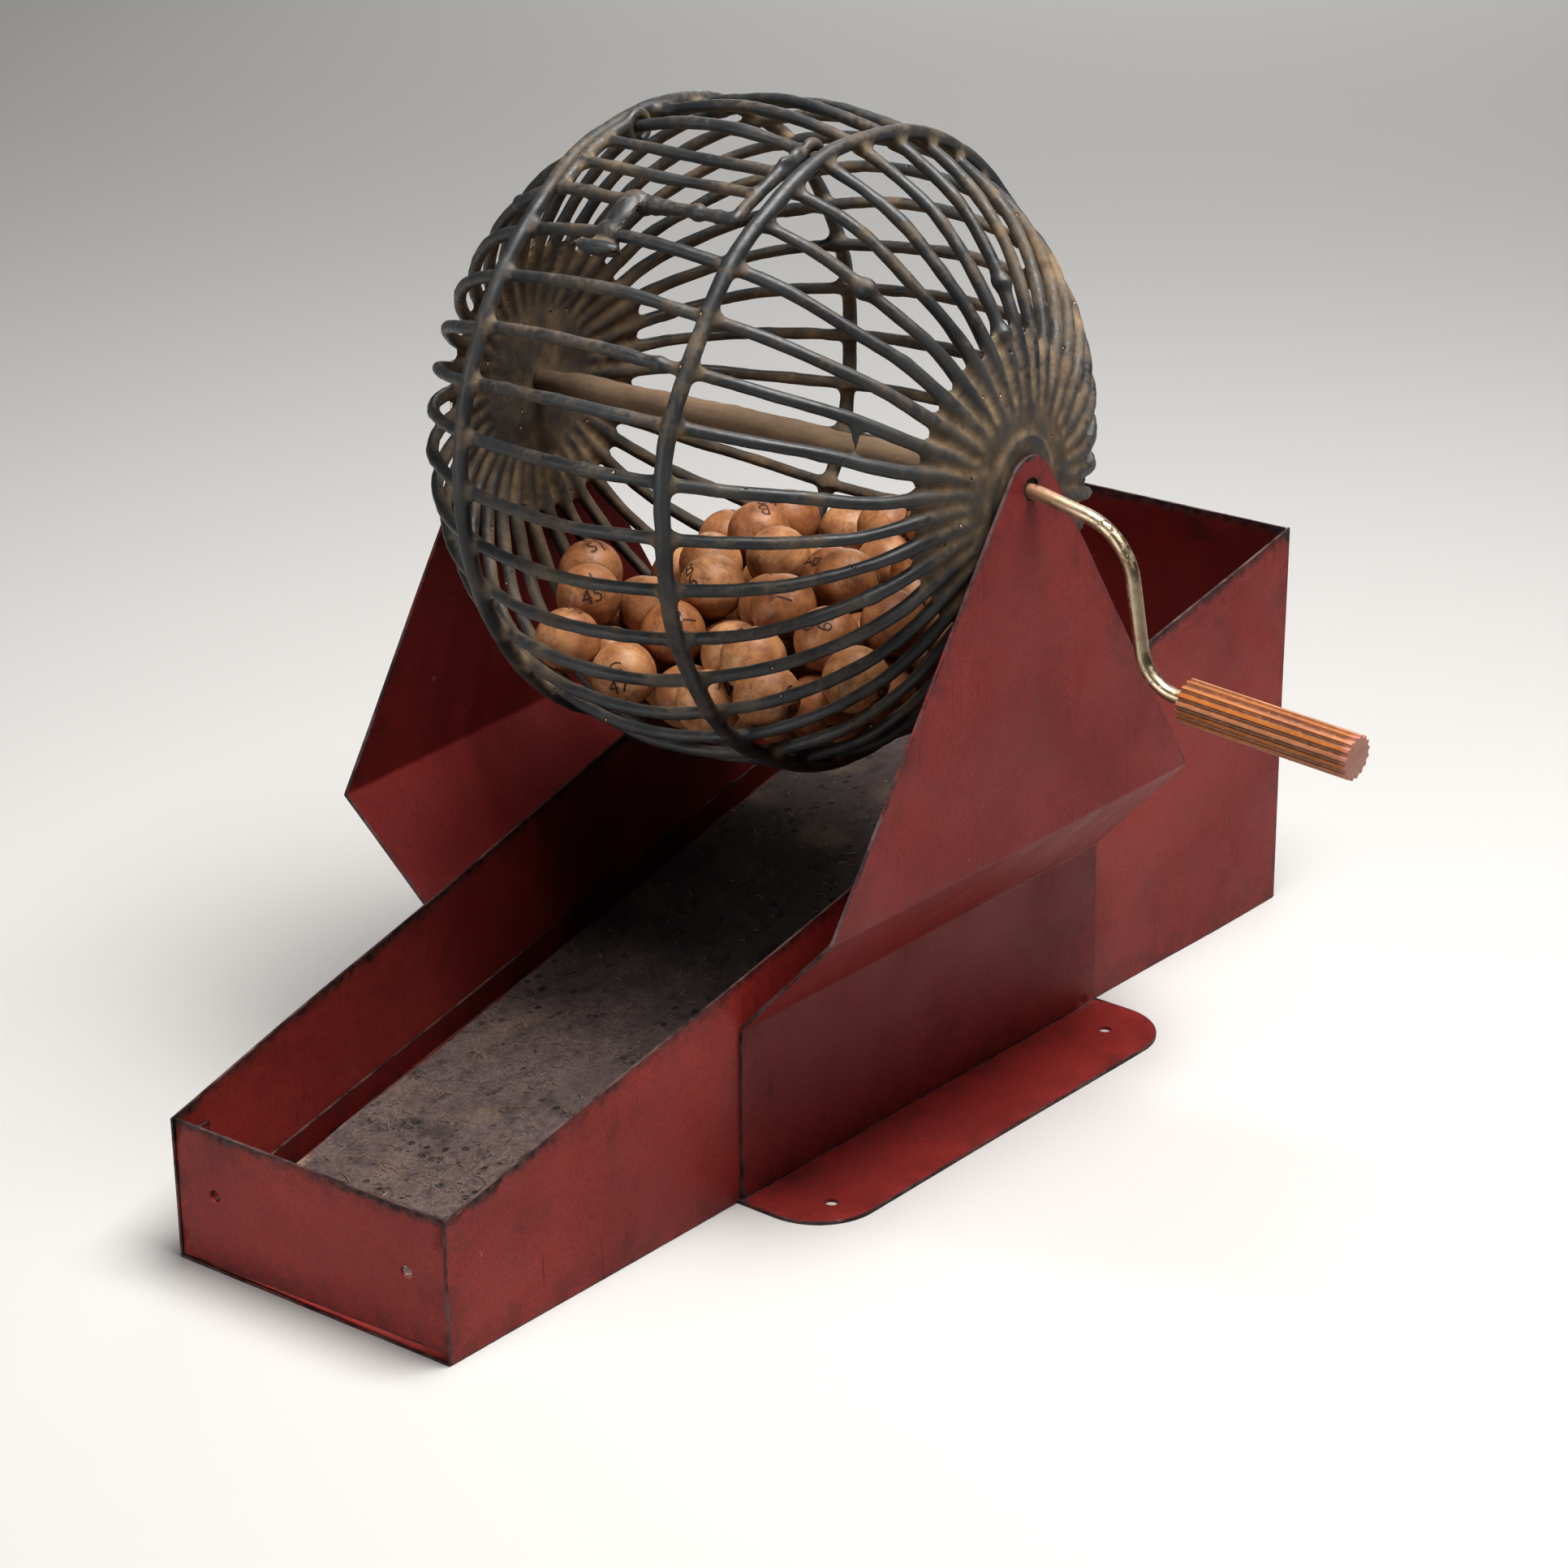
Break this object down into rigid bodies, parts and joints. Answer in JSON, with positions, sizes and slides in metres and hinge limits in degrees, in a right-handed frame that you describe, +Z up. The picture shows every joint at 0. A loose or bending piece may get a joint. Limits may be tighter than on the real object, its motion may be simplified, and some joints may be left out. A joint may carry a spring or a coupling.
{
  "type": "bingo cage",
  "caption": "Crank-turned wire ball cage with a hinged, clipped door, carried by two bent-sheet supports over a felt-lined sheet-metal chute with a sloping floor.",
  "frame": {"origin": "on the table, in the middle of the four foot holes, under the middle of the axle", "axes": "+X along the axle towards the crank, +Y up the chute to its tall back, +Z up"},
  "size_m": [0.3373, 0.4415, 0.3307],
  "materials": {
    "red_enamel": "worn gloss enamel",
    "rubber_black": "dusty dipped coating",
    "nickel": "tarnished nickel plate",
    "bakelite": "aged amber, satin",
    "felt": "worn felt",
    "ball_wood": "waxed wood"
  },
  "bodies": {
    "stand": {"tray_shell": "red_enamel", "tray_front_plate": "red_enamel", "tray_back_plate": "red_enamel", "floor_pan": "red_enamel", "felt_lining": "felt", "support_left": "red_enamel", "support_right": "red_enamel"},
    "cage": {"axle_crank_rod": "nickel", "crank_grip": "bakelite", "hub_left": "rubber_black", "hub_right": "rubber_black", "hoop_left": "rubber_black", "hoop_right": "rubber_black", "axle_tube": "rubber_black", "cage_ribs": "rubber_black", "hinge_rib": "rubber_black", "latch_rib": "rubber_black", "short_ribs_left": "rubber_black", "short_ribs_right": "rubber_black"},
    "door": {"door_frame": "rubber_black", "door_bar_rear": "rubber_black", "door_bar_middle": "rubber_black"},
    "latch": {"latch_clip": "rubber_black"},
    "heap": {"balls_b": "ball_wood", "balls_i": "ball_wood", "balls_n": "ball_wood", "balls_g": "ball_wood", "balls_o": "ball_wood"}
  },
  "joints": [
    {"name": "crank_spin", "type": "hinge", "parent": "stand", "child": "cage", "pos_m": [0, 0, 0.2225], "axis": [1, 0, 0], "continuous": true},
    {"name": "door_hinge", "type": "hinge", "parent": "cage", "child": "door", "pos_m": [0, -0.01927, 0.32165], "axis": [-1, 0, 0], "range_deg": [0, 150]},
    {"name": "latch_flip", "type": "hinge", "parent": "door", "child": "latch", "pos_m": [0, -0.0567, 0.30981], "axis": [-1, 0, 0], "range_deg": [0, 60]},
    {"name": "heap_tumble", "type": "hinge", "parent": "stand", "child": "heap", "pos_m": [0, 0, 0.2225], "axis": [1, 0, 0], "range_deg": [-35, 35]}
  ]
}
